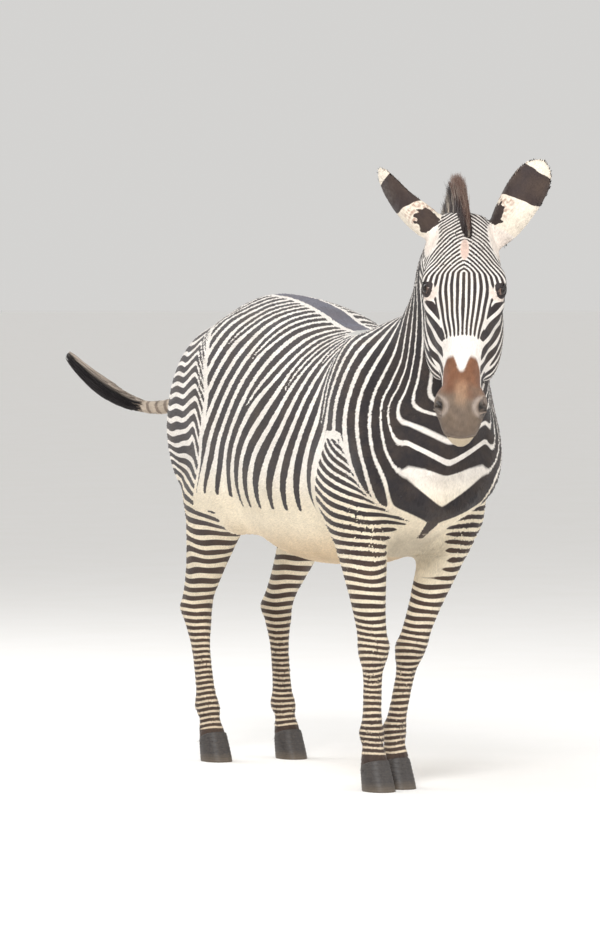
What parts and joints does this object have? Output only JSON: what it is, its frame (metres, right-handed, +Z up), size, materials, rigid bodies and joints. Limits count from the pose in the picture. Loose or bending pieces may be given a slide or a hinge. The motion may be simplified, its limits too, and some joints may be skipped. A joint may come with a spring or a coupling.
{
  "type": "zebra",
  "caption": "Life-size Grevy's zebra standing at rest: narrow black and white stripes, erect mane, large rounded ears, head turned to its right, tail swung aside.",
  "frame": {"origin": "middle of the bounding box's base, on the floor the hooves stand on", "axes": "the animal faces -Y, its left side is +X, +Z is up"},
  "size_m": [0.7206, 2.3164, 1.8973],
  "materials": {
    "coat": "short striped fur",
    "hair": "long coarse hair",
    "eye": "wet dark brown",
    "hoof": "dull horn"
  },
  "bodies": {
    "root": {"trunk": "coat", "neck": "coat", "head": "coat", "ear_left": "coat", "ear_right": "coat", "eye_left": "eye", "eye_right": "eye", "mane": "hair", "tail": "coat", "tail_tuft": "hair", "foreleg_left": "coat", "foreleg_right": "coat", "hindleg_left": "coat", "hindleg_right": "coat", "hoof_fore_left": "hoof", "hoof_fore_right": "hoof", "hoof_hind_left": "hoof", "hoof_hind_right": "hoof"}
  },
  "joints": []
}
